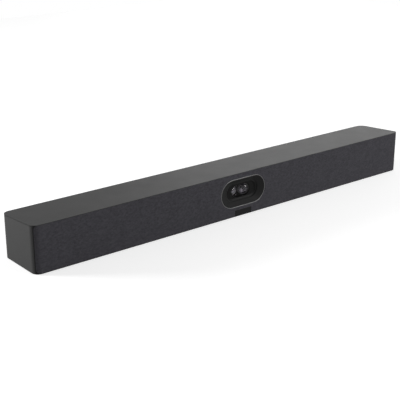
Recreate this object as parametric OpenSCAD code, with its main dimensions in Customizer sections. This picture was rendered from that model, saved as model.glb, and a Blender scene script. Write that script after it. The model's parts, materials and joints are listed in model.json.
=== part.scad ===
// Conference camera bar: a long fabric-fronted housing with a twin-lens camera window,
// a sliding privacy shutter behind the window, two speakers and a recessed port bay.
// X runs along the bar, the front faces -Y, Z is up and 0 is the plane under the feet.

/* [Body] */
// Length of the bar
body_w = 780; // [760:5:900]
// Depth from the front to the rear
body_d = 94; // [92:1:110]
// Height of the front, without the feet
body_h = 74; // [74:1:84]
// How much lower the rear edge of the top is
rear_drop = 6; // [0:0.5:6]
// Radius of the upright corners at the front
front_r = 11; // [9:0.5:14]
// Radius of the upright corners at the rear
rear_r = 13; // [9:0.5:18]
// Thickness of the housing's walls and floor
wall_t = 2.5; // [2:0.1:3]
// Thickness of the top cover between the walls
cover_t = 2.5; // [2:0.1:2.6]
// Thickness of the top cover's edge over the walls
cover_edge = 0.8; // [0.6:0.1:1]
// Shadow gap under the edge of the top cover
seam = 0.6; // [0.3:0.1:0.8]
// Clearance between housing parts that fit into each other
fit = 0.3; // [0.2:0.05:0.4]

/* [Feet] */
// Height that the feet stand out
foot_h = 1.5; // [1:0.1:3]
// Radius of a foot
foot_r = 8; // [6:0.5:10]
// Depth of the recess that a foot sits in
foot_seat = 0.8; // [0.5:0.1:1]
// Distance of the middle of a foot from the end of the bar
foot_end = 60; // [50:1:140]
// Distance of the middle of a foot from the front or the rear
foot_side = 15; // [14:0.5:22]

/* [Front panel] */
// Thickness of the fabric
fabric_t = 0.7; // [0.5:0.1:0.8]
// Thickness of the perforated frame under the fabric
grille_t = 1.8; // [1.5:0.1:2]
// Thickness of the baffle
baffle_t = 2.5; // [2:0.1:2.8]
// Distance from the side of the body to the edge of the panel
panel_side = 2.3; // [1.8:0.1:2.6]
// Height of the housing's lip under the panel
panel_lip = 1; // [0.8:0.1:1.2]
// Height of the cover's lip over the panel
panel_top = 0.9; // [0.9:0.05:1.2]
// Radius of the panel's corners
panel_r = 3; // [2:0.5:5]
// Depth of the recess that takes the panel and its turned ends
panel_depth = 5.2; // [5:0.1:5.6]
// Gap round the panel
panel_gap = 0.2; // [0.1:0.05:0.3]
// How far the fabric's edge stands beyond the frame
fabric_turn = 0.4; // [0.2:0.1:0.6]
// Radius of a perforation
perf_r = 3; // [2:0.25:3.5]
// Distance between perforations
perf_pitch = 8.5; // [8:0.25:12]
// Columns of perforations before each speaker
perf_cols = 14; // [6:1:18]
// Rows of perforations before each speaker
perf_rows = 6; // [3:1:7]
// Radius of the pegs that hold the grille on the baffle
peg_r = 1.5; // [1.2:0.1:2]
// Length of the badge plate
badge_w = 36; // [24:1:50]
// Height of the badge plate
badge_h = 9.6; // [7:0.2:11]
// Thickness of the badge plate
badge_t = 1.5; // [1.2:0.1:1.7]

/* [Camera window] */
// Height of the window's ring over the bottom edge
win_low = 16.35; // [14:0.05:18]
// Distance of the window's ring from the top edge
win_high = 9.35; // [8.85:0.05:12]
// Length of the straight part of the window
win_run = 46.9; // [44:0.1:50]
// Width of the trim ring's face
ring_t = 0.9; // [0.6:0.1:1.5]
// How far the flared bezel runs in at each end
flare_x = 13.35; // [12.5:0.05:15]
// Height of the opening inside the flare over that of the ring
open_share = 0.642; // [0.6:0.002:0.656]
// Depth of the flare
flare_d = 4.5; // [4:0.1:4.6]
// Depth of the back of the bezel
bezel_back = 4.8; // [4.7:0.1:5]
// Width of the bezel's flat rim inside the ring
bezel_rim = 0.5; // [0.3:0.1:1]
// What the bezel's hidden flange keeps beyond an open leaf
flange_end = 3.5; // [2.5:0.5:7]
// How far the flange reaches under the ring
flange_low = 0.85; // [0.4:0.05:1.8]

/* [Shutter] */
// Thickness of a shutter leaf
leaf_t = 0.8; // [0.6:0.05:1]
// Clearance in front of a leaf and behind it
leaf_gap = 0.3; // [0.2:0.05:0.4]
// How much longer a leaf is than half the opening
leaf_over = 1.25; // [1:0.05:2]
// How far a leaf overlaps the opening above and below
leaf_lap = 1.5; // [1:0.1:1.8]
// How far an open leaf stands clear of the opening
leaf_clear = 0.75; // [0.5:0.05:1.2]
// Gap between the leaves when the shutter is closed
leaf_meet = 0.3; // [0.2:0.05:0.6]
// Module of the pinion and the racks
gear_m = 0.5; // [0.45:0.01:0.5]
// Teeth of the pinion
pinion_teeth = 16; // [14:2:16]
// Thickness of the pinion
pinion_t = 1.6; // [1.2:0.1:1.8]
// Thickness of the racks
rack_t = 1.8; // [1.4:0.1:2]
// Height of the back of a rack under its teeth
rack_back = 1; // [0.8:0.1:1]
// Backlash taken from each tooth
backlash = 0.08; // [0.06:0.01:0.12]
// Radius of the pinion's shaft
shaft_r = 1; // [0.8:0.1:1.2]
// Radial clearance of parts that turn or slide in a hole
run_gap = 0.06; // [0.03:0.01:0.09]
// Depth of the back of the shutter housing
guide_back = 11; // [10.5:0.1:11.5]

/* [Lenses] */
// Half of the gap between the two lens rings
lens_gap = 0.245; // [0.24:0.005:1.5]
// Room between the shroud and a lens ring
lens_room = 0.244; // [0.24:0.004:1]
// Angle that each lens turns in towards the other
lens_yaw = 19; // [12:1:19]
// Radius of a lens ring over half the shroud's height
lens_share = 0.714; // [0.64:0.002:0.714]
// What a lens ring keeps round its glass
lens_lip = 1.2; // [1.1:0.1:2]
// Height of the dome of the front glass
glass_sag = 3.2; // [2:0.1:3.3]
// Thickness of the front glass
glass_t = 1.3; // [1:0.1:1.5]
// Length of a lens barrel
barrel_l = 24; // [22:0.5:26]
// How much smaller a barrel is than its lens ring
barrel_in = 0.6; // [0.5:0.1:1.6]
// How far the shroud's ends lie inside the opening
dish_end_in = 2.05; // [1.5:0.05:3]
// How far the shroud lies inside the opening above and below
dish_in = 1.5; // [1:0.05:2.5]
// Depth of the flat floor of the dish
dish_floor = 7.5; // [7.3:0.1:7.6]
// Thickness of the dish under its floor
dish_t = 1; // [0.8:0.1:1.1]
// Width of the curved rim of the dish
dish_rim = 4; // [3:0.25:5]
// Gap between the shroud and a lens ring
cut_gap = 0.4; // [0.3:0.05:0.6]

/* [Speakers] */
// How much smaller the cone is than the speaker's flange
cone_in = 9.5; // [9:0.25:11]
// Travel of the cone to each side
cone_travel = 1.5; // [0.5:0.1:1.5]
// What a speaker box's face keeps round the flange
spk_rim = 0.5; // [0.5:0.25:2]
// Distance of a speaker box from the middle of the bar
box_in = 145; // [140:1:170]
// Distance of a speaker box from the end of the bar
box_end = 55; // [50:1:80]
// Distance of a speaker box from the rear
box_rear = 26; // [24:1:34]
// Wall of a speaker box
box_t = 2.5; // [2:0.1:3]
// Room over a speaker box
box_top = 3.4; // [1.4:0.1:3.9]

/* [Port bay] */
// Length of the port bay
bay_w = 210; // [206:2:220]
// Height of the port bay over the bottom edge
bay_low = 16; // [14:0.5:18]
// Distance of the port bay from the top edge at the rear
bay_high = 18; // [16:0.5:20]
// Distance of the floor of the port bay from the middle of the bar
bay_floor = 29; // [27:0.5:31]
// Wall of the port bay
bay_t = 2; // [1.6:0.1:2.2]
// Distance from the board to the floor of the bay
port_l = 11.4; // [11:0.1:13]
// Travel of the reset button
reset_travel = 0.5; // [0.3:0.05:0.6]

/* [Fixings] */
// Distance of the outer cover screws from the end of the bar
screw_end = 25; // [22:1:34]
// Distance of the inner cover screws from a speaker box
screw_in = 15; // [10:0.5:17]
// Distance of the front cover screws from the front
screw_front = 23; // [19:1:27]
// Distance of the rear cover screws from the rear
screw_rear = 13; // [11:1:15]
// Distance between the bracket inserts along the bar
bracket_w = 320; // [300:10:360]
// Distance between the bracket inserts upwards
bracket_h = 34; // [30:1:36]
// Inner radius of a bracket insert, cut for an M4 thread
bracket_r = 1.65; // [1.6:0.05:1.7]
// Length of a bracket insert
bracket_l = 8; // [6:0.5:8]
// Inner radius of the stand insert, cut for a quarter-inch thread
stand_r = 2.55; // [2.5:0.05:2.6]
// Length of the stand insert
stand_l = 8; // [6:0.5:9]

/* [Hidden] */
$fn = 64;

over = 1;             // overrun of a cut past the face that it leaves
min_r = 0.5;          // least radius of an inner corner
z0 = foot_h;          // height of the bottom of the body
slope = atan(rear_drop / body_d);
ring_h = body_h - win_low - win_high;
ring_w = ring_h + win_run;
zc = z0 + win_low + ring_h / 2;    // height of the middle of the window
open_w = ring_w - 2 * flare_x;
open_h = ring_h * open_share;
foot_x = body_w / 2 - foot_end;
foot_y = body_d / 2 - foot_side;

grille_back = fabric_t + grille_t;
baffle_front = grille_back + fit;
baffle_back = baffle_front + baffle_t;
baffle_inset = fit + fabric_t + grille_t;
cover_inset = wall_t + fit;

bezel_w = ring_w - 2 * ring_t - 2 * panel_gap / 2;
bezel_h = ring_h - 2 * ring_t - 2 * panel_gap / 2;
flange_front = baffle_front;
leaf_x = open_w / 2 + leaf_clear;  // leading edge of an open leaf
leaf_w = open_w / 2 + leaf_over;
leaf_h = open_h + 2 * leaf_lap;
flange_x = leaf_x + leaf_w + flange_end;
flange_bottom = zc - ring_h / 2 - flange_low;

leaf_front = bezel_back + leaf_gap;
leaf_back = leaf_front + leaf_t;
guide_front = leaf_back + leaf_gap;
leaf_travel = leaf_x - leaf_meet / 2;
pinion_r = gear_m * pinion_teeth / 2;
addendum = 0.85 * gear_m;
dedendum = 1.25 * gear_m;
tooth_pitch = PI * gear_m;
pinion_z = zc + leaf_h / 2 + leaf_gap + rack_back + dedendum + pinion_r;
rack_top = pinion_z + pinion_r + dedendum + rack_back;
channel_d = rack_t + 2 * leaf_gap;
channel_x = leaf_x + leaf_w / 3;
flange_top = rack_top + leaf_gap + wall_t / 2 - fit;
flange_h = flange_top - flange_bottom;
rack_front = guide_front + leaf_gap;
rack_teeth = ceil((leaf_travel / 2 + 2 * pinion_r / 3) / tooth_pitch);
rack_mid = leaf_travel / 2;
link_w = 5;           // width of the strip that joins a leaf to its rack

dish_x = open_w / 2 - dish_end_in;
dish_z = open_h / 2 - dish_in;
dish_edge = guide_front;       // depth of the front edge of the dish
dish_rise = dish_floor - dish_edge;
dish_curve = (dish_rim * dish_rim + dish_rise * dish_rise) / (2 * dish_rise);
dish_end = dish_x - dish_z;    // where the round ends of the dish begin
dish_ledge = 1.2;     // width of the ledge that carries the dish

lens_ring_r = dish_z * lens_share;
lens_x = lens_ring_r * cos(lens_yaw) + lens_gap;
lens_depth = dish_floor + dish_t + lens_ring_r * sin(lens_yaw) + lens_room;
glass_r = lens_ring_r - lens_lip;
barrel_r = lens_ring_r - barrel_in;
ring_l = 2;           // thickness of the lens ring
ring_bevel = 0.4;
seat_d = 1;           // depth of the seat for the glass
lip_share = 0.18;
pupil_share = 0.25;   // radius of the aperture over that of the glass
pupil_r = glass_r * pupil_share;
funnel_r = glass_r * (pupil_share + lip_share);
step_l = 1;
glass_seat = 1.2;
barrel_wall = 1.5;
barrel_step = 1;
step_share = 0.6;
pupil_d = 6;          // depth of the aperture behind the ring
glass_curve = (glass_r * glass_r + glass_sag * glass_sag) / (2 * glass_sag);
sensor_w = 24;
sensor_t = 1.6;
plug_w = 12;
plug_h = 4;
plug_t = 2;
sleeve_start = 6;
sleeve_l = 10;
sleeve_t = 1.6;
face_edge = 7.7;       // reach of a face beyond the middle of its lens
face_t = 1.6;         // thickness of the bracket's angled faces
bracket_depth = 20;   // depth of the bracket's rear plate
bracket_t = 2;
bracket_half = 39;    // half length of the bracket's rear plate
standoff_x = 35.5;
standoff_z = 9;
standoff_r = 2.5;

motor_w = 12;
motor_h = 10;
motor_gear_l = 9;     // length of the gearbox
motor_can_r = 4.8;
motor_can_l = 12;

flange_seat = 8;      // depth of the speaker's seat on its box
spk_flange_t = 1.5;
box_w = body_w / 2 - box_end - box_in;
box_h = body_h - rear_drop - wall_t - cover_t - 2 * fit - box_top;
box_back = body_d - box_rear;
spk_x = box_in + box_w / 2;
spk_z = wall_t + fit + box_h / 2;
spk_flange_r = box_h / 2 - spk_rim;
cone_r = spk_flange_r - cone_in;
basket_in = 4.6;
basket_r = spk_flange_r - basket_in;
basket_t = 1.4;
basket_taper = 8.4;
basket_end_r = basket_r - basket_taper;
basket_back = 24;
basket_ring_w = 4;
ring_edge = 2;
basket_ring_r = basket_end_r + basket_ring_w;
magnet_r = basket_ring_r - ring_edge;
cup_t = 1;
gap_r = 9.2;          // outer radius of the magnet's air gap
pole_r = 7.4;
coil_r = 8.4;
coil_t = 0.4;
coil_end = 33;
plate_t = 3.5;
magnet_l = 14.5;
magnet_back = basket_back + basket_t + magnet_l;
cone_front = 6.7;
cone_t = 0.6;
cone_back = 17;
cap_sag = 2.5;
roll_r = 1.75;        // radius of the surround's roll
roll_t = 0.5;
gasket_w = 3;
gasket_r = spk_flange_r - gasket_w;

board_t = 1.6;
bay_d = body_d / 2 - bay_floor;
bay_h = body_h - rear_drop - bay_low - bay_high;
bay_z = bay_low + bay_h / 2;
board_y = bay_floor - port_l;  // rear face of the main board
board_w = 240;
board_low = 4;
board_high = 8;
board_h = body_h - rear_drop - board_low - board_high;
board_z = z0 + board_low + board_h / 2;
chip_w = 24;
chip_t = 1.5;
sink_w = 70;
sink_h = 36;
sink_base = 3;
sink_room = 7.14;     // room between the heat sink and the sensor boards
sensor_back = lens_depth + (barrel_l + fit + sensor_t + plug_t) * cos(lens_yaw) + sensor_w / 2 * sin(lens_yaw);
fin_l = board_y - board_t - chip_t - run_gap - sink_base + body_d / 2 - sensor_back - sink_room;
fin_t = 1.2;
fin_count = 14;
post_in = 6;
post_low = 4;
post_x = bay_w / 2 - post_in;
post_z = bay_h / 2 - post_low;
post_r = 2.5;
port_gap = 0.25;
port_shares = [-0.41, -0.305, -0.2, -0.095, 0.01, 0.095, 0.175, 0.24, 0.33, 0.42];
port_x = bay_w * port_shares;      // places of the ports along the bay
dc_x = port_x[0];
hdmi_x = [port_x[1], port_x[2], port_x[3]];
usb_a_x = [port_x[4], port_x[5]];
usb_c_x = port_x[6];
audio_x = port_x[7];
network_x = port_x[8];
reset_x = port_x[9];
reset_r = 1.3;
reset_sink = 0.6;     // depth of the button under the floor of the bay
reset_base = 2.6;     // height of the switch on the board
reset_base_w = 5;
reset_in = 1.5;        // how far the button reaches into its switch
dc_w = 10;
dc_h = 11;
dc_hole_r = 2.75;
dc_pin_r = 1.05;
hdmi_w = 15;
hdmi_h = 6;
usb_a_w = 14;
usb_a_h = 6.6;
usb_c_w = 9.4;
usb_c_h = 3.6;
audio_r = 4;
audio_hole_r = 1.8;
network_w = 16;
network_h = 14;
jack_w = 11.8;
jack_h = 6.8;
tongue_t = 1.2;
shell_t = 0.5;        // metal shell of the small sockets
socket_floor = 2;     // what stays behind a socket's hole

screw_r = 1.5;
screw_head_r = 2.8;
screw_head_h = 2.2;
screw_l = 16;
sink_d = 5;           // depth of the counterbore for a screw's head
boss_r = 5;
cover_post_r = 4;
boss_h = 8;
post_hole_l = 14;
insert_t = 1.35;      // wall of a bracket insert
stand_t = 1.95;       // wall of the stand insert
insert_drop = 0.2;    // how far an insert lies under the face
insert_fit = 0.02;
bracket_z = z0 + (body_h - rear_drop) / 2;
boss_wall = 2;
stand_wall = 3;
screw_x_out = body_w / 2 - screw_end;
screw_x_in = box_in - screw_in;
screw_y_front = screw_front - body_d / 2;
screw_y_rear = body_d / 2 - screw_rear;
peg_in = 21;
peg_spk = 72;
peg_end = 18;
peg_low = 8;
peg_high = 9;
ledge_w = 11;
ledge_l = 7;

mic_w = 50;
mic_h = 9;
mic_t = 1.2;
mic_in = 34;
mic_drop = 16;
mic_x = flange_x + mic_in;
mic_z = z0 + body_h - mic_drop;
mic_can_w = 4;
mic_can_h = 3;
mic_can_t = 1.1;
mic_hole_r = 0.7;
mic_step = 15;
antenna_t = 0.8;
antenna_l = 40;
antenna_h = 14;
antenna_room = 14;
antenna_z = z0 + body_h - rear_drop - antenna_h - antenna_room;

housing_colour = "#4a4a4b";
cloth_colour = "#38373b";
black = "#161617";
steel_colour = "#a9abad";
board_colour = "#1f5a3c";

// Depth behind the front face, as a Y coordinate
function dep(d) = d - body_d / 2;

// Half of the angle that a pinion tooth covers at a radius
function involute(a) = tan(a) - a * PI / 180;
function half_tooth(r, base_r) =
    (PI / 2 / pinion_teeth - backlash / 2 / pinion_r + involute(20) - involute(acos(base_r / r))) * 180 / PI;

// A flat shape in X and Z, as a slab from a depth backwards
module slab(depth, t) {
    translate([0, dep(depth + t), 0]) rotate([90, 0, 0]) linear_extrude(t) children();
}

// A shape turned so that its own Z runs backwards from the front face
module backwards(x, z) {
    translate([x, dep(0), z]) rotate([-90, 0, 0]) children();
}

// The same, along the axis of one lens
module lens_axis(side) {
    translate([side * lens_x, dep(lens_depth), zc]) rotate([0, 0, -side * lens_yaw])
        rotate([-90, 0, 0]) children();
}

module stadium(w, h) {
    square([w - h, h], center = true);
    for (s = [-1, 1]) translate([s * (w - h) / 2, 0]) circle(d = h);
}

module round_rect(w, h, r) {
    square([w - 2 * r, h], center = true);
    square([w, h - 2 * r], center = true);
    for (x = [-1, 1], y = [-1, 1]) translate([x * (w / 2 - r), y * (h / 2 - r)]) circle(r);
}

// Outline of the body from above, drawn in by a distance
module plan(inset) {
    w = body_w - 2 * inset;
    d = body_d - 2 * inset;
    rf = max(front_r - inset, min_r);
    rr = max(rear_r - inset, min_r);
    translate([-w / 2, rf - d / 2]) square([w, d - rf - rr]);
    translate([rf - w / 2, -d / 2]) square([w - 2 * rf, d / 2]);
    translate([rr - w / 2, 0]) square([w - 2 * rr, d / 2]);
    for (s = [-1, 1]) {
        translate([s * (w / 2 - rf), rf - d / 2]) circle(rf);
        translate([s * (w / 2 - rr), d / 2 - rr]) circle(rr);
    }
}

module block(inset) {
    translate([0, 0, z0]) linear_extrude(body_h + over) plan(inset);
}

// Everything above a plane that runs parallel to the sloping top
module above_top(drop) {
    translate([0, dep(0), z0 + body_h - drop]) rotate([-slope, 0, 0])
        translate([-body_w, -body_d, 0]) cube([2 * body_w, 3 * body_d, body_h]);
}

// A layer of the sloping top, between two distances under it
module top_layer(inset, upper, lower) {
    difference() {
        intersection() {
            block(inset);
            above_top(lower);
        }
        above_top(upper);
    }
}

// Outline of the fabric panel, grown by a gap
module panel_outline(gap) {
    h = body_h - panel_lip - panel_top;
    translate([0, z0 + panel_lip + h / 2])
        round_rect(body_w - 2 * panel_side + 2 * gap, h + 2 * gap, panel_r + gap);
}

module at_window() {
    translate([0, zc]) children();
}

module cover_screw_places() {
    for (s = [-1, 1], y = [screw_y_front, screw_y_rear]) {
        translate([s * screw_x_out, y, z0]) children();
        translate([s * screw_x_in, y, z0]) children();
    }
}

module bracket_places() {
    for (x = [-1, 1], z = [-1, 1])
        translate([x * bracket_w / 2, body_d / 2, bracket_z + z * bracket_h / 2])
            rotate([90, 0, 0]) children();
}

module foot_places() {
    for (x = [-1, 1], y = [-1, 1]) translate([x * foot_x, y * foot_y, 0]) children();
}

module bay_outline(grow) {
    translate([0, z0 + bay_z]) round_rect(bay_w + 2 * grow, bay_h + 2 * grow, panel_r);
}

// A slab in the port bay, from one Y to another
module bay_slab(y, t) {
    slab(y + body_d / 2, t) children();
}

module housing_inside() {
    for (s = [-1, 1]) {
        // Ledges that the baffle's ends rest on
        translate([s * (body_w / 2 - wall_t - ledge_w / 2) - ledge_w / 2 - wall_t / 2,
            dep(baffle_back), z0 + wall_t / 2])
            cube([ledge_w + wall_t, ledge_l, body_h]);
    }
    cover_screw_places() cylinder(r = boss_r, h = boss_h);
    bracket_places() cylinder(r = bracket_r + insert_t + boss_wall, h = bracket_l + boss_wall);
    translate([0, 0, z0]) cylinder(r = stand_r + stand_t + stand_wall, h = stand_l + boss_wall);
}

module rear_housing() {
    color(housing_colour) difference() {
        union() {
            difference() {
                block(0);
                translate([0, 0, wall_t]) block(wall_t);
            }
            intersection() {
                difference() {
                    housing_inside();
                    above_top(cover_t + fit);
                }
                block(wall_t / 2);
            }
        }
        above_top(cover_edge + seam);
        slab(-over, panel_depth + fit + over) panel_outline(panel_gap);
        bay_slab(body_d / 2 - wall_t - over, wall_t + 2 * over) bay_outline(0);
        cover_screw_places() {
            translate([0, 0, -over]) cylinder(r = screw_r + 2 * run_gap, h = boss_h + 2 * over);
            translate([0, 0, -over]) cylinder(r = screw_head_r + fit, h = sink_d + over);
        }
        bracket_places() translate([0, 0, -over])
            cylinder(r = bracket_r + insert_t + insert_fit, h = bracket_l + insert_drop + over);
        translate([0, 0, z0 - over])
            cylinder(r = stand_r + stand_t + insert_fit, h = stand_l + insert_drop + over);
        foot_places() translate([0, 0, z0 - over]) cylinder(r = foot_r + fit, h = foot_seat + over);
    }
}

module top_cover() {
    color(housing_colour) difference() {
        union() {
            top_layer(0, 0, cover_edge);
            top_layer(cover_inset, cover_edge / 2, cover_t);
            difference() {
                cover_screw_places() translate([0, 0, boss_h]) cylinder(r = cover_post_r, h = body_h);
                above_top(cover_t / 2);
            }
        }
        slab(-over, panel_depth + fit + over) panel_outline(panel_gap);
        cover_screw_places() translate([0, 0, boss_h - over])
            cylinder(r = screw_r + run_gap, h = post_hole_l + over);
    }
}

module peg_places() {
    for (x = [-1, 1], z = [z0 + peg_low, z0 + body_h - peg_high]) {
        for (px = [flange_x + peg_in, spk_x - peg_spk, spk_x + peg_spk, body_w / 2 - peg_end])
            translate([x * px, z]) children();
    }
}

module mic_places(side) {
    for (k = [-1, 0, 1]) translate([side * mic_x + k * mic_step, mic_z]) children();
}

module front_baffle() {
    color(black) difference() {
        slab(baffle_front, baffle_t) translate([0, z0 + body_h / 2])
            square([body_w - 2 * baffle_inset - 2 * fit, body_h - 2 * panel_lip - 2 * fit], center = true);
        difference() {
            translate([0, 0, -body_h]) linear_extrude(3 * body_h) square([2 * body_w, 2 * body_d], center = true);
            translate([0, 0, -body_h]) linear_extrude(3 * body_h) plan(baffle_inset);
        }
        above_top(cover_t + fit);
        slab(baffle_front - over, baffle_t + 2 * over) {
            translate([-flange_x - fit, flange_bottom - fit]) square([2 * flange_x + 2 * fit, body_h]);
            for (s = [-1, 1]) {
                translate([s * spk_x, z0 + spk_z]) circle(gasket_r);
                mic_places(s) circle(mic_hole_r);
            }
            peg_places() circle(peg_r + run_gap);
        }
    }
}

module perforations() {
    for (s = [-1, 1], c = [0 : perf_cols - 1], r = [0 : perf_rows - 1])
        translate([
            s * spk_x + (c - (perf_cols - 1) / 2 + (r % 2 == 0 ? 0.25 : -0.25)) * perf_pitch,
            z0 + spk_z + (r - (perf_rows - 1) / 2) * perf_pitch * sqrt(3) / 2
        ]) circle(perf_r);
}

module badge_outline(gap) {
    translate([-badge_w / 2 - gap, z0 + panel_lip - gap]) square([badge_w + 2 * gap, badge_h + 2 * gap]);
}

module grille_frame() {
    color(black) {
        difference() {
            intersection() {
                difference() {
                    block(fabric_t);
                    block(grille_back);
                }
                slab(-over, panel_depth + over) panel_outline(-fabric_turn);
            }
            slab(-over, grille_back + 2 * over) {
                at_window() stadium(ring_w + panel_gap, ring_h + panel_gap);
                perforations();
                for (s = [-1, 1]) mic_places(s) circle(2 * mic_hole_r);
            }
            slab(-over, badge_t + fit / 2 + over) badge_outline(panel_gap / 2);
        }
        slab(grille_back - fabric_t, baffle_t + fabric_t) peg_places() circle(peg_r);
    }
}

module grille_fabric() {
    color(cloth_colour) difference() {
        intersection() {
            difference() {
                block(0);
                block(fabric_t);
            }
            slab(-over, panel_depth + over) panel_outline(0);
        }
        slab(-over, fabric_t + 2 * over) {
            at_window() stadium(ring_w + panel_gap, ring_h + panel_gap);
            badge_outline(panel_gap / 2);
        }
    }
}

module window_trim_ring() {
    color(steel_colour) slab(0, grille_back) at_window() difference() {
        stadium(ring_w, ring_h);
        stadium(ring_w - 2 * ring_t, ring_h - 2 * ring_t);
    }
}

module flange_outline() {
    translate([-flange_x, flange_bottom]) square([2 * flange_x, flange_h]);
}

module window_bezel() {
    thin = bezel_back - flare_d;
    color(black) difference() {
        union() {
            slab(0, bezel_back) at_window() stadium(bezel_w, bezel_h);
            slab(flange_front, bezel_back - flange_front) flange_outline();
        }
        hull() {
            slab(-thin, thin) at_window() stadium(bezel_w - 2 * bezel_rim, bezel_h - 2 * bezel_rim);
            slab(flare_d, thin / 2) at_window() stadium(open_w, open_h);
        }
        slab(flare_d - thin, 4 * thin) at_window() stadium(open_w, open_h);
    }
}

module badge_plate() {
    color("#0d0d0e") slab(0, badge_t) badge_outline(0);
}

module shutter_housing() {
    rail_h = zc - leaf_h / 2 - leaf_gap / 2 - flange_bottom;
    color(black) difference() {
        union() {
            slab(guide_front, guide_back - guide_front) flange_outline();
            slab(bezel_back, guide_front - bezel_back + over / 2) {
                translate([-flange_x, flange_bottom]) square([2 * flange_x, rail_h]);
                translate([-flange_x, rack_top + leaf_gap])
                    square([2 * flange_x, flange_top - rack_top - leaf_gap]);
                for (s = [-1, 1])
                    translate([s * (flange_x - wall_t / 4) - wall_t / 4, flange_bottom])
                        square([wall_t / 2, flange_h]);
            }
        }
        slab(guide_front - over / 2, dish_floor + dish_t - guide_front + over / 2 + run_gap)
            at_window() stadium(2 * dish_x + fit, 2 * dish_z + fit);
        slab(guide_front, guide_back) at_window()
            stadium(2 * (dish_x - dish_ledge), 2 * (dish_z - dish_ledge));
        slab(guide_front - over / 2, channel_d + over / 2)
            translate([-channel_x, zc + leaf_h / 2]) square([2 * channel_x, rack_top + leaf_gap - zc - leaf_h / 2]);
        backwards(0, pinion_z) cylinder(r = shaft_r + run_gap, h = guide_back + over);
    }
}

// The dish that the lenses look through: a flat floor with a curved rim round both ends
module dish_profile() {
    intersection() {
        union() {
            translate([dish_z - dish_rim, dish_floor - dish_curve]) circle(dish_curve);
            translate([0, dish_edge - over]) square([dish_z - dish_rim, dish_rise + over]);
        }
        translate([0, dish_edge - over]) square([dish_z, dish_rise + over]);
    }
}

module lens_shroud() {
    hole_r = lens_ring_r + cut_gap;
    color("#2a2a2b") difference() {
        slab(dish_edge, dish_floor + dish_t - dish_edge) at_window() stadium(2 * dish_x, 2 * dish_z);
        for (s = [-1, 1]) backwards(s * dish_end, zc) rotate_extrude() dish_profile();
        translate([-dish_end, dep(0), zc]) rotate([90, 0, 90]) linear_extrude(2 * dish_end)
            for (s = [-1, 1]) mirror([0, s > 0 ? 0 : 1]) mirror([1, 0]) rotate(90) dish_profile();
        for (s = [-1, 1]) lens_axis(s) translate([0, 0, -lens_depth]) cylinder(r = hole_r, h = 2 * lens_depth);
        slab(dish_edge - over, dish_floor + dish_t + over) at_window()
            square([2 * lens_x, 2 * hole_r], center = true);
    }
}

// Rack with its pitch line at 0 and a gap between teeth at the middle of the pinion
module rack_teeth_2d(middle) {
    first = round(middle / tooth_pitch) - rack_teeth;
    last = round(middle / tooth_pitch) + rack_teeth - 1;
    half = tooth_pitch / 4 - backlash / 2;
    tip = half - addendum * tan(20);
    root = half + dedendum * tan(20);
    polygon(concat(
        [for (k = [first : last], p = [[-root, -dedendum], [-tip, addendum], [tip, addendum], [root, -dedendum]])
            [(k + 0.5) * tooth_pitch + p[0], p[1]]],
        [[(last + 1) * tooth_pitch, -dedendum], [(last + 1) * tooth_pitch, -dedendum - rack_back],
            [first * tooth_pitch, -dedendum - rack_back], [first * tooth_pitch, -dedendum]]
    ));
}

// One leaf, drawn for the left side: the plate, its rack and the strip that joins them
module shutter_leaf(side) {
    rack_pitch_z = side < 0 ? pinion_z - pinion_r : pinion_z + pinion_r;
    rack_base = rack_pitch_z + side * (dedendum + rack_back);
    link_bottom = zc + leaf_h / 4;
    link_x = side < 0 ? -leaf_x - link_w : leaf_x;
    color("#101011") {
        slab(leaf_front, leaf_t) {
            translate([side < 0 ? -leaf_x - leaf_w : leaf_x, zc - leaf_h / 2]) square([leaf_w, leaf_h]);
            translate([link_x, link_bottom])
                square([link_w, rack_pitch_z + (side < 0 ? -dedendum : dedendum + rack_back) - link_bottom]);
        }
        slab(leaf_front, rack_front + rack_t - leaf_front)
            translate([link_x, min(rack_base, rack_base - side * rack_back)]) square([link_w, rack_back]);
        slab(rack_front, rack_t) translate([0, rack_pitch_z]) scale([1, -side])
            rack_teeth_2d(side * rack_mid);
    }
}

module pinion_2d() {
    base_r = pinion_r * cos(20);
    tip_r = pinion_r + addendum;
    root_r = pinion_r - dedendum;
    flank_shares = [0, 0.3, 0.65, 1];
    polygon([for (k = [0 : pinion_teeth - 1])
        let (turn = 90 + k * 360 / pinion_teeth)
        for (p = concat(
            [[root_r, -half_tooth(base_r, base_r)]],
            [for (f = flank_shares) let (r = base_r + f * (tip_r - base_r)) [r, -half_tooth(r, base_r)]],
            [for (f = [3, 2, 1, 0]) let (r = base_r + flank_shares[f] * (tip_r - base_r)) [r, half_tooth(r, base_r)]],
            [[root_r, half_tooth(base_r, base_r)]]
        )) p[0] * [cos(turn + p[1]), sin(turn + p[1])]
    ]);
}

module shutter_pinion() {
    color("#d8d4c8") {
        slab(rack_front + (rack_t - pinion_t) / 2, pinion_t) translate([0, pinion_z]) pinion_2d();
        backwards(0, pinion_z) translate([0, 0, rack_front + rack_t / 2])
            cylinder(r = shaft_r, h = guide_back + motor_gear_l / 2 - rack_front);
    }
}

module shutter_motor() {
    front = guide_back + fit;
    color(steel_colour) difference() {
        union() {
            slab(front, motor_gear_l) translate([0, pinion_z]) square([motor_w, motor_h], center = true);
            backwards(0, pinion_z) translate([0, 0, front + motor_gear_l - over / 2])
                cylinder(r = motor_can_r, h = motor_can_l);
        }
        backwards(0, pinion_z) cylinder(r = shaft_r + run_gap, h = front + motor_gear_l - over);
    }
}

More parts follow.
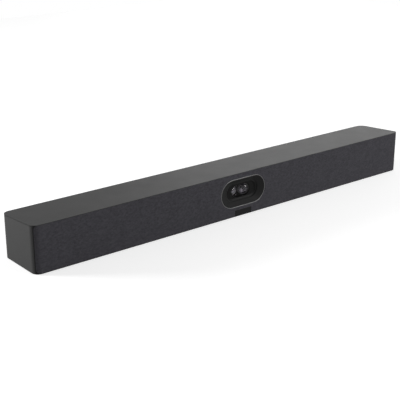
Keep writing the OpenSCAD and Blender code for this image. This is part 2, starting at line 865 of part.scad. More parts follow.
module camera_bracket() {
    face_x = lens_x + face_edge;
    color("#5a5b5d") difference() {
        union() {
            for (s = [-1, 1]) {
                intersection() {
                    lens_axis(s) translate([0, 0, ring_l]) linear_extrude(face_t)
                        square([4 * lens_ring_r, 2 * (dish_z - dish_ledge - fit)], center = true);
                    translate([s > 0 ? 0 : -face_x, dep(0), 0]) cube([face_x, body_d, 2 * body_h]);
                }
                lens_axis(s) translate([0, 0, ring_l + face_t / 2])
                    cylinder(r = barrel_r + sleeve_t, h = sleeve_start + sleeve_l);
                for (z = [-1, 1]) backwards(s * standoff_x, zc + z * standoff_z)
                    translate([0, 0, guide_back]) cylinder(r = standoff_r, h = bracket_depth - guide_back + over);
            }
            slab(bracket_depth, bracket_t) at_window()
                square([2 * bracket_half, 2 * dish_z + 2 * standoff_r], center = true);
        }
        for (s = [-1, 1]) lens_axis(s) translate([0, 0, -over])
            cylinder(r = barrel_r + run_gap, h = 2 * barrel_l);
    }
}

module camera_barrel(side) {
    back_r = barrel_r - barrel_step;
    color("#0c0c0d") lens_axis(side) rotate_extrude() polygon([
        [lens_ring_r - ring_bevel, 0], [lens_ring_r, ring_bevel], [lens_ring_r, ring_l], [barrel_r, ring_l],
        [barrel_r, barrel_l * step_share], [back_r, barrel_l * step_share], [back_r, barrel_l],
        [back_r - barrel_wall, barrel_l], [back_r - barrel_wall, pupil_d + 3 * step_l],
        [pupil_r, pupil_d + step_l], [pupil_r, pupil_d], [funnel_r, pupil_d - step_l],
        [funnel_r, pupil_d - 2 * step_l], [glass_r - glass_seat, seat_d + step_l],
        [glass_r - glass_seat, seat_d], [glass_r + run_gap, seat_d], [glass_r + run_gap, 0]
    ]);
}

module front_lens(side) {
    color("#30343c") lens_axis(side) rotate_extrude() intersection() {
        difference() {
            translate([0, glass_curve - glass_sag]) circle(glass_curve, $fn = 128);
            translate([0, glass_curve - glass_sag]) circle(glass_curve - glass_t, $fn = 128);
        }
        translate([0, -glass_sag - over]) square([glass_r, glass_sag + over + seat_d]);
    }
}

module sensor_board(side) {
    color(board_colour) lens_axis(side) translate([0, 0, barrel_l + fit]) {
        linear_extrude(sensor_t) square([sensor_w, sensor_w], center = true);
        translate([0, -sensor_w / 3, sensor_t / 2]) linear_extrude(sensor_t / 2 + plug_t)
            square([plug_w, plug_h], center = true);
    }
}

module main_board() {
    front = board_y - board_t;
    color(board_colour) difference() {
        union() {
            bay_slab(front, board_t) translate([0, board_z]) square([board_w, board_h], center = true);
            bay_slab(front - chip_t, chip_t + board_t / 2) {
                translate([0, board_z]) square([chip_w, chip_w], center = true);
                for (x = [-3, -2, 2, 3], z = [-1, 1])
                    translate([x * chip_w * 1.1, board_z + z * chip_w * 0.6])
                        square([chip_w * 0.6, chip_w * 0.4], center = true);
            }
            bay_slab(board_y - board_t / 2, reset_base + board_t / 2) translate([reset_x, z0 + bay_z])
                square([reset_base_w, reset_base_w], center = true);
        }
        bay_slab(board_y + run_gap, reset_base + over) translate([reset_x, z0 + bay_z])
            circle(reset_r + run_gap);
    }
}

module processor_heatsink() {
    back = board_y - board_t - chip_t - run_gap;
    fin_step = (sink_w - fin_t) / (fin_count - 1);
    color(steel_colour) {
        bay_slab(back - sink_base, sink_base) translate([0, board_z]) square([sink_w, sink_h], center = true);
        bay_slab(back - sink_base - fin_l, fin_l + sink_base / 2)
            for (k = [0 : fin_count - 1])
                translate([k * fin_step - sink_w / 2, board_z - sink_h / 2]) square([fin_t, sink_h]);
    }
}

// Outline of one socket in the floor of the bay
module socket_place(x) {
    translate([x, z0 + bay_z]) children();
}

module port_bay() {
    inner_face = body_d / 2 - wall_t - fit;
    color(housing_colour) difference() {
        union() {
            bay_slab(bay_floor + run_gap, inner_face - bay_floor - run_gap) bay_outline(bay_t);
            bay_slab(inner_face - bay_t, bay_t) bay_outline(2 * bay_t);
        }
        bay_slab(bay_floor - over, bay_d + over) bay_outline(0);
    }
}

// The floor of the bay, which stands on the board on four posts
module port_plate() {
    color(black) difference() {
        union() {
            bay_slab(bay_floor - bay_t, bay_t) bay_outline(bay_t);
            bay_slab(board_y + run_gap, port_l - run_gap) for (x = [-1, 1], z = [-1, 1])
                translate([x * post_x, z0 + bay_z + z * post_z]) circle(post_r);
        }
        bay_slab(bay_floor - bay_t - over, bay_t + 2 * over) {
            socket_place(dc_x) square([dc_w + 2 * port_gap, dc_h + 2 * port_gap], center = true);
            for (x = hdmi_x) socket_place(x)
                square([hdmi_w + 2 * port_gap, hdmi_h + 2 * port_gap], center = true);
            for (x = usb_a_x) socket_place(x)
                square([usb_a_w + 2 * port_gap, usb_a_h + 2 * port_gap], center = true);
            socket_place(usb_c_x) square([usb_c_w + 2 * port_gap, usb_c_h + 2 * port_gap], center = true);
            socket_place(audio_x) circle(audio_r + port_gap);
            socket_place(network_x)
                square([network_w + 2 * port_gap, network_h + 2 * port_gap], center = true);
            socket_place(reset_x) circle(reset_r + run_gap);
        }
    }
}

// A socket: an outer body on the board, with a hole in its outer face
module socket(x) {
    difference() {
        bay_slab(board_y, port_l) socket_place(x) children(0);
        bay_slab(board_y + socket_floor, port_l) socket_place(x) children(1);
    }
}

module dc_jack() {
    color(black) {
        socket(dc_x) {
            square([dc_w, dc_h], center = true);
            circle(dc_hole_r);
        }
        bay_slab(board_y + socket_floor / 2, port_l - socket_floor) socket_place(dc_x) circle(dc_pin_r);
    }
}

module hdmi_outline(w, h, cut) {
    polygon([
        [-w / 2, h / 2], [w / 2, h / 2], [w / 2, cut - h / 2], [w / 2 - cut, -h / 2],
        [cut - w / 2, -h / 2], [-w / 2, cut - h / 2]
    ]);
}

module hdmi_socket(x) {
    color(steel_colour) {
        socket(x) {
            hdmi_outline(hdmi_w, hdmi_h, hdmi_h / 3);
            hdmi_outline(hdmi_w - 2 * shell_t, hdmi_h - 2 * shell_t, hdmi_h / 3);
        }
        bay_slab(board_y + socket_floor / 2, port_l - socket_floor) socket_place(x)
            square([hdmi_w * 0.7, tongue_t], center = true);
    }
}

module usb_a_socket(x) {
    color(steel_colour) {
        socket(x) {
            square([usb_a_w, usb_a_h], center = true);
            square([usb_a_w - 2 * shell_t, usb_a_h - 2 * shell_t], center = true);
        }
        bay_slab(board_y + socket_floor / 2, port_l - socket_floor) socket_place(x)
            translate([0, usb_a_h / 5]) square([usb_a_w * 0.8, 2 * tongue_t], center = true);
    }
}

module usb_c_socket() {
    color(steel_colour) {
        socket(usb_c_x) {
            stadium(usb_c_w, usb_c_h);
            stadium(usb_c_w - 2 * shell_t, usb_c_h - 2 * shell_t);
        }
        bay_slab(board_y + socket_floor / 2, port_l - socket_floor) socket_place(usb_c_x)
            square([usb_c_w * 0.6, shell_t * 1.4], center = true);
    }
}

module audio_jack() {
    color(black) socket(audio_x) {
        circle(audio_r);
        circle(audio_hole_r);
    }
}

module network_socket() {
    color(steel_colour) socket(network_x) {
        square([network_w, network_h], center = true);
        union() {
            square([jack_w, jack_h], center = true);
            translate([0, -jack_h / 2]) square([jack_w / 2, jack_h / 2], center = true);
        }
    }
}

module reset_button() {
    low = board_y + reset_base - reset_in;
    color("#b9b9b9") bay_slab(low, bay_floor - reset_sink - low) socket_place(reset_x) circle(reset_r);
}

module at_speaker(side) {
    backwards(side * spk_x, z0 + spk_z) children();
}

module speaker_box(side) {
    low = z0 + wall_t + fit;
    color("#1b1b1c") difference() {
        slab(flange_seat, box_back - flange_seat) translate([side * spk_x, low + box_h / 2])
            round_rect(box_w, box_h, panel_r);
        slab(flange_seat + box_t, box_back - flange_seat - 2 * box_t)
            translate([side * spk_x, low + box_h / 2])
                round_rect(box_w - 2 * box_t, box_h - 2 * box_t, panel_r / 2);
        at_speaker(side) cylinder(r = gasket_r, h = flange_seat + 2 * box_t);
    }
}

module speaker_basket(side) {
    front = flange_seat - spk_flange_t;
    inner_r = basket_r - basket_t;
    color("#2c2c2e") at_speaker(side) difference() {
        rotate_extrude() polygon([
            [inner_r, front], [spk_flange_r, front], [spk_flange_r, flange_seat], [basket_r, flange_seat],
            [basket_end_r + basket_t, basket_back], [basket_ring_r, basket_back],
            [basket_ring_r, basket_back + basket_t], [gap_r, basket_back + basket_t],
            [gap_r, basket_back], [basket_end_r, basket_back], [inner_r, flange_seat]
        ]);
        for (a = [0 : 90 : 270]) rotate([0, 0, a + 45])
            translate([basket_end_r / 2, -basket_end_r / 2, flange_seat + 2 * basket_t])
                cube([basket_r, basket_end_r, basket_back - flange_seat - 4 * basket_t]);
    }
}

module speaker_magnet(side) {
    front = basket_back + basket_t;
    color("#4b4b4d") at_speaker(side) rotate_extrude() polygon([
        [gap_r, front], [magnet_r, front], [magnet_r, front + plate_t], [magnet_r - cup_t, front + plate_t],
        [magnet_r - cup_t, magnet_back], [0, magnet_back], [0, front], [pole_r, front],
        [pole_r, magnet_back - plate_t], [gap_r + cup_t, magnet_back - plate_t],
        [gap_r + cup_t, front + plate_t], [gap_r, front + plate_t]
    ]);
}

module speaker_cone(side) {
    cap_curve = (coil_r * coil_r + cap_sag * cap_sag) / (2 * cap_sag);
    color("#232324") at_speaker(side) rotate_extrude() {
        polygon([
            [cone_r, cone_front], [cone_r, cone_front + cone_t], [coil_r, cone_back + cone_t],
            [coil_r, coil_end], [coil_r - coil_t, coil_end], [coil_r - coil_t, cone_back]
        ]);
        intersection() {
            difference() {
                translate([0, cone_back - cap_sag + cap_curve]) circle(cap_curve);
                translate([0, cone_back - cap_sag + cap_curve]) circle(cap_curve - cone_t);
            }
            translate([0, cone_back - cap_sag - over]) square([coil_r - coil_t / 2, cap_sag + over + cone_t / 2]);
        }
    }
}

module speaker_surround(side) {
    middle = cone_r + roll_r;
    foot = flange_seat - spk_flange_t - run_gap;
    color("#1a1a1a") at_speaker(side) rotate_extrude() {
        intersection() {
            difference() {
                translate([middle, foot - roll_t]) circle(roll_r);
                translate([middle, foot - roll_t]) circle(roll_r - roll_t);
            }
            translate([middle - roll_r, foot - roll_t - roll_r - over])
                square([2 * roll_r, roll_r + over]);
        }
        translate([middle + roll_r - roll_t, foot - roll_t]) square([2 * roll_r, roll_t]);
        translate([cone_r - roll_r, foot - roll_t]) square([roll_r + roll_t, roll_t]);
    }
}

module speaker_gasket(side) {
    color("#262626") at_speaker(side) translate([0, 0, baffle_back + run_gap]) difference() {
        cylinder(r = spk_flange_r, h = flange_seat - spk_flange_t - baffle_back - 2 * run_gap);
        translate([0, 0, -over]) cylinder(r = gasket_r, h = flange_seat);
    }
}

module microphone_board(side) {
    front = baffle_back + fit;
    color(board_colour) {
        difference() {
            slab(front, mic_t) translate([side * mic_x, mic_z]) square([mic_w, mic_h], center = true);
            slab(front - over, mic_t + over) mic_places(side) circle(mic_hole_r / 2);
        }
        slab(front + mic_t / 2, mic_can_t + mic_t / 2) mic_places(side)
            square([mic_can_w, mic_can_h], center = true);
    }
}

module wifi_antenna(side) {
    x = side * (body_w / 2 - wall_t - fit - antenna_t / 2);
    color(board_colour) translate([x - antenna_t / 2, -antenna_l / 2, antenna_z])
        cube([antenna_t, antenna_l, antenna_h]);
}

module rubber_feet() {
    color("#141414") foot_places() cylinder(r = foot_r, h = foot_h + foot_seat);
}

module housing_screws() {
    color(steel_colour) cover_screw_places() translate([0, 0, sink_d]) {
        translate([0, 0, -screw_head_h]) cylinder(r = screw_head_r, h = screw_head_h);
        translate([0, 0, -screw_head_h / 2]) cylinder(r = screw_r, h = screw_l + screw_head_h / 2);
    }
}

module tube(inner_r, t, l) {
    difference() {
        cylinder(r = inner_r + t, h = l);
        translate([0, 0, -over]) cylinder(r = inner_r, h = l + 2 * over);
    }
}

module bracket_inserts() {
    color("#b08d4c") bracket_places() translate([0, 0, insert_drop]) tube(bracket_r, insert_t, bracket_l);
}

module stand_insert() {
    color("#b08d4c") translate([0, 0, z0 + insert_drop]) tube(stand_r, stand_t, stand_l);
}

rear_housing();
top_cover();
front_baffle();
grille_frame();
grille_fabric();
window_trim_ring();
window_bezel();
badge_plate();
shutter_housing();
shutter_leaf(-1);  // shutter_leaf_left
shutter_leaf(1);  // shutter_leaf_right
shutter_pinion();
shutter_motor();
lens_shroud();
camera_bracket();
camera_barrel(-1);  // camera_barrel_left
camera_barrel(1);  // camera_barrel_right
front_lens(-1);  // front_lens_left
front_lens(1);  // front_lens_right
sensor_board(-1);  // sensor_board_left
sensor_board(1);  // sensor_board_right
main_board();
processor_heatsink();
port_bay();
port_plate();
dc_jack();
hdmi_socket(hdmi_x[0]);  // hdmi_socket_1
hdmi_socket(hdmi_x[1]);  // hdmi_socket_2
hdmi_socket(hdmi_x[2]);  // hdmi_socket_3
usb_a_socket(usb_a_x[0]);  // usb_a_socket_1
usb_a_socket(usb_a_x[1]);  // usb_a_socket_2
usb_c_socket();
audio_jack();
network_socket();
reset_button();
speaker_box(-1);  // speaker_box_left
speaker_box(1);  // speaker_box_right
speaker_basket(-1);  // speaker_basket_left
speaker_basket(1);  // speaker_basket_right
speaker_magnet(-1);  // speaker_magnet_left
speaker_magnet(1);  // speaker_magnet_right
speaker_cone(-1);  // speaker_cone_left
speaker_cone(1);  // speaker_cone_right
speaker_surround(-1);  // speaker_surround_left
speaker_surround(1);  // speaker_surround_right
speaker_gasket(-1);  // speaker_gasket_left
speaker_gasket(1);  // speaker_gasket_right
microphone_board(-1);  // microphone_board_left
microphone_board(1);  // microphone_board_right
wifi_antenna(-1);  // wifi_antenna_left
wifi_antenna(1);  // wifi_antenna_right
rubber_feet();
housing_screws();
bracket_inserts();
stand_insert();
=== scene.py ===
import json
import math

import bmesh
import bpy
from mathutils import Matrix, Vector


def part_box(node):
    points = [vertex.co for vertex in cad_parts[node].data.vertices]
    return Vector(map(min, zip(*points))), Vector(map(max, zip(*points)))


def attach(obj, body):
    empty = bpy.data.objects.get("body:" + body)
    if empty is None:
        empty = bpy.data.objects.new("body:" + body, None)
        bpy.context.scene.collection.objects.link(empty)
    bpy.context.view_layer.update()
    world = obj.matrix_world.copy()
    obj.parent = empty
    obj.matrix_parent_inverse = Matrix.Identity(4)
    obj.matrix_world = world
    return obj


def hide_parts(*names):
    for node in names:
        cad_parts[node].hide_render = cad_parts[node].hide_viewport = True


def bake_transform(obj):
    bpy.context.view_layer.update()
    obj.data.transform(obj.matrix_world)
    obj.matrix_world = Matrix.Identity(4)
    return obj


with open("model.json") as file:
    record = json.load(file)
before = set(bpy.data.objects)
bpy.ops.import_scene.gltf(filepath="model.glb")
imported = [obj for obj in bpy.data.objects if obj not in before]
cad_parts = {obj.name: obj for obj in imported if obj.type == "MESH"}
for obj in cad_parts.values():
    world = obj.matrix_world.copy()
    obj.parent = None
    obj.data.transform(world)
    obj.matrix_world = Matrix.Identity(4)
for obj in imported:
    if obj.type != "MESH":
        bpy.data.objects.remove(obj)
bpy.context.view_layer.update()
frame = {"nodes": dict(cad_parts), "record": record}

MM = 0.001
NODES = frame["nodes"]
scene = bpy.context.scene

# Places on the bar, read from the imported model
HOUSING_LOW, HOUSING_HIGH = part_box("rear_housing")
PANEL_LOW, PANEL_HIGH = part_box("grille_fabric")
RING_LOW, RING_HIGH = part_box("window_trim_ring")
BADGE_LOW, BADGE_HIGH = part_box("badge_plate")
WINDOW = (RING_LOW + RING_HIGH) / 2
FRONT_Y = HOUSING_LOW.y

# The photograph's viewpoint: a lens of 83 mm on a sensor of 36 mm
CAMERA_AT = Vector((-0.9597, -1.1144, 0.5350))
CAMERA_RIGHT = Vector((0.775605, -0.631216, -0.001695))
CAMERA_BACK = Vector((-0.594556, -0.731455, 0.333883))
CAMERA_LENS = 83.0
CAMERA_SENSOR = 36.0
CAMERA_REACH = 50


def set_camera():
    camera = bpy.data.objects.new("photo_camera", bpy.data.cameras.new("photo_camera"))
    scene.collection.objects.link(camera)
    up = CAMERA_BACK.cross(CAMERA_RIGHT)
    turn = Matrix((CAMERA_RIGHT, up, CAMERA_BACK)).transposed()
    camera.matrix_world = Matrix.Translation(CAMERA_AT) @ turn.to_4x4()
    camera.data.lens = CAMERA_LENS
    camera.data.sensor_width = CAMERA_SENSOR
    camera.data.clip_end = CAMERA_REACH
    scene.camera = camera


# Materials

# Metres between the ridges of a wave texture whose scale is 1
WAVE_PERIOD = 2 * math.pi / 20


class Shader:
    """A material with one Principled shader, and short calls for the textures that feed it."""

    def __init__(self, name, colour, roughness, **values):
        self.material = bpy.data.materials.new(name)
        self.material.use_nodes = True
        self.tree = self.material.node_tree
        self.main = self.tree.nodes["Principled BSDF"]
        self.coords = self.node("ShaderNodeTexCoord").outputs["Object"]
        self.height = None
        self.set("Base Color", (*colour, 1))
        self.set("Roughness", roughness)
        for socket, value in values.items():
            self.set(socket.replace("_", " "), value)

    def node(self, kind, **settings):
        made = self.tree.nodes.new(kind)
        for key, value in settings.items():
            setattr(made, key, value)
        return made

    def link(self, source, target):
        self.tree.links.new(source, target)

    def set(self, socket, value):
        self.main.inputs[socket].default_value = value

    def noise(self, size, detail=2.0, stretch=(1, 1, 1)):
        """Noise whose grains are about size metres across."""
        mapping = self.node("ShaderNodeMapping")
        mapping.inputs["Scale"].default_value = stretch
        self.link(self.coords, mapping.inputs["Vector"])
        noise = self.node("ShaderNodeTexNoise")
        noise.inputs["Scale"].default_value = 1 / size
        noise.inputs["Detail"].default_value = detail
        self.link(mapping.outputs["Vector"], noise.inputs["Vector"])
        return noise.outputs["Fac"]

    def bands(self, size, axis):
        """Smooth ridges square to one axis, size metres apart."""
        wave = self.node("ShaderNodeTexWave", bands_direction=axis, wave_profile="SIN")
        wave.inputs["Scale"].default_value = WAVE_PERIOD / size
        self.link(self.coords, wave.inputs["Vector"])
        return wave.outputs["Fac"]

    def maths(self, operation, *terms):
        made = self.node("ShaderNodeMath", operation=operation)
        for slot, term in zip(made.inputs, terms):
            if isinstance(term, (int, float)):
                slot.default_value = term
            else:
                self.link(term, slot)
        return made.outputs["Value"]

    def ramp(self, source, low, high, start=0.3, end=0.7):
        """Turns 0..1 into a colour between two, or between two greys."""
        made = self.node("ShaderNodeValToRGB")
        first, last = made.color_ramp.elements
        first.position, last.position = start, end
        first.color = (*low, 1) if isinstance(low, tuple) else (low, low, low, 1)
        last.color = (*high, 1) if isinstance(high, tuple) else (high, high, high, 1)
        self.link(source, made.inputs["Fac"])
        return made.outputs["Color"]

    def colour(self, source):
        self.link(source, self.main.inputs["Base Color"])

    def roughness(self, source, low, high):
        self.link(self.ramp(source, low, high), self.main.inputs["Roughness"])

    def bump(self, source, depth):
        """Raises the surface by up to depth metres where source is 1."""
        made = self.node("ShaderNodeBump")
        made.inputs["Strength"].default_value = 1.0
        made.inputs["Distance"].default_value = depth
        self.link(source, made.inputs["Height"])
        if self.height:
            self.link(self.height, made.inputs["Normal"])
        self.height = made.outputs["Normal"]
        self.link(self.height, self.main.inputs["Normal"])


def grey(level):
    """The linear colour that a display shows at this level, from 0 to 255."""
    s = level / 255
    return s / 12.92 if s <= 0.04045 else ((s + 0.055) / 1.055) ** 2.4


def tone(*levels):
    if len(levels) == 1:
        levels = levels * 3
    return tuple(grey(v) for v in levels)


def moulded(name, level, roughness, grain=0.35 * MM, depth=0.012 * MM, **values):
    """Moulded plastic with a fine spark-eroded texture and faint mottling."""
    made = Shader(name, tone(level), roughness, **values)
    made.colour(made.ramp(made.noise(18 * MM, 3), tone(level * 0.985), tone(level * 1.015)))
    made.roughness(made.noise(30 * MM, 4), roughness - 0.012, roughness + 0.016)
    made.bump(made.noise(grain, 2), depth)
    return made.material


CLOTH_TONE = tone(58, 57, 61)
CLOTH_DARK = tone(46, 45, 49)
CLOTH_PALE = tone(71, 70, 75)
YARN = 0.9 * MM
YARN_DEPTH = 0.18 * MM
FIBRE = 0.35 * MM
FIBRE_DEPTH = 0.05 * MM
HEATHER = 2.4 * MM
PATCH = 26 * MM


def woven(name):
    """Acoustic cloth: a plain weave of heathered yarn in charcoal, slightly blue."""
    made = Shader(name, CLOTH_TONE, 0.95, Sheen_Weight=0.1, Sheen_Roughness=0.4)
    made.set("Specular IOR Level", 0.15)
    over = made.maths("MULTIPLY", made.bands(2 * YARN, "X"), made.bands(2 * YARN, "Z"))
    across = made.maths("SUBTRACT", 1, made.bands(YARN, "X"))
    up = made.maths("SUBTRACT", 1, made.bands(YARN, "Z"))
    under = made.maths("MULTIPLY", across, up)
    weave = made.maths("MULTIPLY_ADD", under, 0.6, made.maths("MULTIPLY", over, 0.4))
    fibres = made.noise(FIBRE, 3)
    heather = made.noise(HEATHER, 4, stretch=(0.6, 1, 1))
    patch = made.noise(PATCH, 2)
    mix = made.maths("MULTIPLY_ADD", heather, 0.6, made.maths("MULTIPLY", weave, 0.25))
    mix = made.maths("MULTIPLY_ADD", patch, 0.1, mix)
    made.colour(made.ramp(mix, CLOTH_DARK, CLOTH_PALE, 0.22, 0.72))
    made.bump(weave, YARN_DEPTH)
    made.bump(fibres, FIBRE_DEPTH)
    return made.material


def metal(name, level, roughness, brushed=(1, 1, 1), **values):
    made = Shader(name, tone(level), roughness, Metallic=1.0, **values)
    made.roughness(made.noise(0.8 * MM, 3, stretch=brushed), roughness - 0.06, roughness + 0.06)
    made.bump(made.noise(0.4 * MM, 2, stretch=brushed), 0.004 * MM)
    return made.material


def circuit(name):
    """Green solder mask with tracks under it."""
    made = Shader(name, tone(24, 82, 56), 0.35, Coat_Weight=0.4)
    tracks = made.maths("GREATER_THAN", made.noise(2.5 * MM, 1, stretch=(1, 1, 4)), 0.55)
    made.colour(made.ramp(tracks, tone(18, 66, 44), tone(34, 98, 66), 0.4, 0.6))
    made.bump(tracks, 0.03 * MM)
    return made.material


def lens_glass(name):
    """Clear glass with a coating that takes most of the reflections away."""
    made = Shader(name, (0.72, 0.7, 0.76), 0.0, Transmission_Weight=1.0, IOR=1.25)
    made.set("Specular IOR Level", 0.3)
    made.roughness(made.noise(4 * MM, 2), 0.0, 0.015)
    return made.material


def bezel_gloss(name):
    return moulded(name, 34, 0.45, grain=0.5 * MM, depth=0.004 * MM, Specular_IOR_Level=0.03)


def shroud_gloss(name):
    return moulded(name, 14, 0.42, grain=0.6 * MM, depth=0.003 * MM, Specular_IOR_Level=0.06)


# Each material slot of the record, with the call that makes it
MATERIALS = {
    "housing_plastic": lambda name: moulded(name, 39, 0.5, Specular_IOR_Level=0.1),
    "front_cloth": woven,
    "black_plastic": lambda name: moulded(name, 20, 0.6, Specular_IOR_Level=0.2),
    "bezel_gloss": bezel_gloss,
    "trim_metal": lambda name: metal(name, 105, 0.35),
    "leaf_black": lambda name: moulded(name, 22, 0.55),
    "gear_plastic": lambda name: moulded(name, 205, 0.45),
    "steel": lambda name: metal(name, 190, 0.3, brushed=(0.1, 1, 1)),
    "shroud_gloss": shroud_gloss,
    "bracket_metal": lambda name: moulded(name, 20, 0.45, Specular_IOR_Level=0.2),
    "barrel_black": lambda name: moulded(name, 22, 0.3, Specular_IOR_Level=0.6),
    "lens_glass": lens_glass,
    "circuit_board": circuit,
    "button_grey": lambda name: moulded(name, 170, 0.5),
    "box_plastic": lambda name: moulded(name, 30, 0.6),
    "cone_paper": lambda name: moulded(name, 36, 0.8, grain=0.8 * MM, depth=0.05 * MM),
    "soft_rubber": lambda name: moulded(name, 28, 0.75, grain=0.5 * MM, depth=0.03 * MM),
    "brass": lambda name: metal(name, 170, 0.3),
}
made_materials = {}


def material(slot):
    if slot not in made_materials:
        made_materials[slot] = MATERIALS[slot](slot)
    return made_materials[slot]


def dress_cad_nodes():
    for part in frame["record"]["subparts"]:
        node = NODES[part["node"]]
        node.data.materials.clear()
        node.data.materials.append(material(part["material_slot"]))


# Meshes


def add_mesh(name, bm):
    """Makes an object of the mesh that was built, in the same place."""
    mesh = bpy.data.meshes.new(name)
    bm.to_mesh(mesh)
    bm.free()
    made = bpy.data.objects.new(name, mesh)
    scene.collection.objects.link(made)
    return made


def add_piece(name, bm, slot, node=None):
    """A piece that rides on the bar and may stand for a CAD node."""
    made = add_mesh(name, bm)
    made.data.materials.append(material(slot))
    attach(made, "bar")
    if node:
        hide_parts(node)
    return made


def soften(piece, width, segments):
    bevel = piece.modifiers.new("soft edge", "BEVEL")
    bevel.width = width
    bevel.segments = segments
    return bevel


def join_loops(bm, one, two):
    """Faces between two loops of as many points."""
    for k in range(len(one)):
        after = (k + 1) % len(one)
        bm.faces.new((one[k], one[after], two[after], two[k]))


def stadium(length, height, steps):
    """Points round a stadium in X and Z, anticlockwise from the lower right."""
    r = height / 2
    points = []
    for side, start in ((1, -90), (-1, 90)):
        for k in range(steps + 1):
            a = math.radians(start + 180 * k / steps)
            points.append((side * (length / 2 - r) + r * math.cos(a), r * math.sin(a)))
    return points


def rounded_rectangle(x0, z0, x1, z1, r, steps):
    """Points round a rectangle in X and Z, anticlockwise from the lower right."""
    corners = ((x1 - r, z0 + r, -90), (x1 - r, z1 - r, 0), (x0 + r, z1 - r, 90), (x0 + r, z0 + r, 180))
    points = []
    for cx, cz, start in corners:
        for k in range(steps + 1):
            a = math.radians(start + 90 * k / steps)
            points.append((cx + r * math.cos(a), cz + r * math.sin(a)))
    return points


# The cloth follows the front of the body and turns round its corners
CORNER_R = 11 * MM
PANEL_R = 6.5 * MM
SEAM = 0.7 * MM
CUT_GAP = 0.1 * MM
CLOTH_T = 0.7 * MM
CLOTH_EDGE_R = 0.25 * MM
CLOTH_GRID = 8 * MM
TURN_STEPS = 8
PANEL_STEPS = 8
WINDOW_STEPS = 40
EDGE_STEPS = 3
EDGE_ANGLE = math.radians(50)
HALF_FLAT = HOUSING_HIGH.x - CORNER_R


def arc_from_x(x):
    """How far round the corner the cloth has gone where it ends at this X."""
    return math.asin((abs(x) - HALF_FLAT) / CORNER_R)


def wrap(u):
    """X and Y of a place that lies u along the cloth from its middle."""
    beyond = abs(u) - HALF_FLAT
    if beyond <= 0:
        return u, FRONT_Y
    turn = beyond / CORNER_R
    x = HALF_FLAT + CORNER_R * math.sin(turn)
    return math.copysign(x, u), FRONT_Y + CORNER_R * (1 - math.cos(turn))


def flat_outline(bm, points):
    made = [bm.verts.new((u, 0, z)) for u, z in points]
    return [bm.edges.new((a, b)) for a, b in zip(made, made[1:] + made[:1])]


def cut_lines(bm, places, axis):
    for place in places:
        point, normal = Vector((0, 0, 0)), Vector((0, 0, 0))
        point[axis], normal[axis] = place, 1
        everything = bm.verts[:] + bm.edges[:] + bm.faces[:]
        bmesh.ops.bisect_plane(bm, geom=everything, plane_co=point, plane_no=normal)


def cloth_outlines(half):
    """The flat cloth's edge, and the edges of its holes for the window and the badge."""
    ring = RING_HIGH - RING_LOW
    window = stadium(ring.x + 2 * CUT_GAP, ring.z + 2 * CUT_GAP, WINDOW_STEPS)
    x0, x1 = BADGE_LOW.x - CUT_GAP, BADGE_HIGH.x + CUT_GAP
    z0, z1 = BADGE_LOW.z + 2 * CUT_GAP, BADGE_HIGH.z + CUT_GAP
    return [
        rounded_rectangle(-half, PANEL_LOW.z, half, PANEL_HIGH.z, PANEL_R, PANEL_STEPS),
        [(x + WINDOW.x, z + WINDOW.z) for x, z in window],
        [(x0, z0), (x1, z0), (x1, z1), (x0, z1)],
    ]


def make_cloth():
    half = HALF_FLAT + CORNER_R * arc_from_x(PANEL_HIGH.x) - SEAM
    height = PANEL_HIGH.z - PANEL_LOW.z
    bm = bmesh.new()
    edges = []
    for outline in cloth_outlines(half):
        edges += flat_outline(bm, outline)
    bmesh.ops.triangle_fill(bm, edges=edges, use_beauty=True, use_dissolve=False)
    columns = round(2 * HALF_FLAT / CLOTH_GRID)
    cut_lines(bm, [-HALF_FLAT + 2 * HALF_FLAT * k / columns for k in range(columns + 1)], 0)
    turns = [HALF_FLAT + (half - HALF_FLAT) * k / TURN_STEPS for k in range(1, TURN_STEPS)]
    for side in (-1, 1):
        cut_lines(bm, [side * u for u in turns], 0)
    rows = round(height / CLOTH_GRID)
    cut_lines(bm, [PANEL_LOW.z + height * k / rows for k in range(1, rows)], 2)
    bmesh.ops.recalc_face_normals(bm, faces=bm.faces)
    if sum(f.normal.y for f in bm.faces) > 0:
        bmesh.ops.reverse_faces(bm, faces=bm.faces)
    for point in bm.verts:
        x, y = wrap(point.co.x)
        point.co = (x, y, point.co.z)
    for face in bm.faces:
        face.smooth = True
    cloth = add_piece("front_cloth_sheet", bm, "front_cloth", "grille_fabric")
    solid = cloth.modifiers.new("thickness", "SOLIDIFY")
    solid.thickness = CLOTH_T
    solid.offset = -1
    bevel = soften(cloth, CLOTH_EDGE_R, EDGE_STEPS)
    bevel.limit_method = "ANGLE"
    bevel.angle_limit = EDGE_ANGLE


# The rubber roll round each speaker cone, which bends as the cone moves, made here in fixed sectors
ROLL_R = 1.75 * MM
ROLL_T = 0.5 * MM
# Sectors round the roll, the angle of each, and the steps along a sector and round the roll's arc
ROLL_SECTORS = 12
SECTOR = 2 * math.pi / ROLL_SECTORS
SECTOR_STEPS = 3
ARC_STEPS = 8


def surround_profile(cone_r, outer_r, front, back):
    """Radius and Y round the section of the roll and its two feet."""
    middle = cone_r + ROLL_R
    face = back - ROLL_T
    turns = [math.pi * k / ARC_STEPS for k in range(ARC_STEPS + 1)]

    def arc(radius, angles):
        depths = [face + radius * math.sin(a) * (front - face) / ROLL_R for a in angles]
        return [(middle + radius * math.cos(a), y) for a, y in zip(angles, depths)]

    inner = arc(ROLL_R - ROLL_T, turns[::-1])
    outer = arc(ROLL_R, turns)
    hollow = [(cone_r - ROLL_R, back), (inner[0][0], back)] + inner + [(inner[-1][0], back)]
    return hollow + [(outer_r, back), (outer_r, face)] + outer + [(cone_r - ROLL_R, face)]


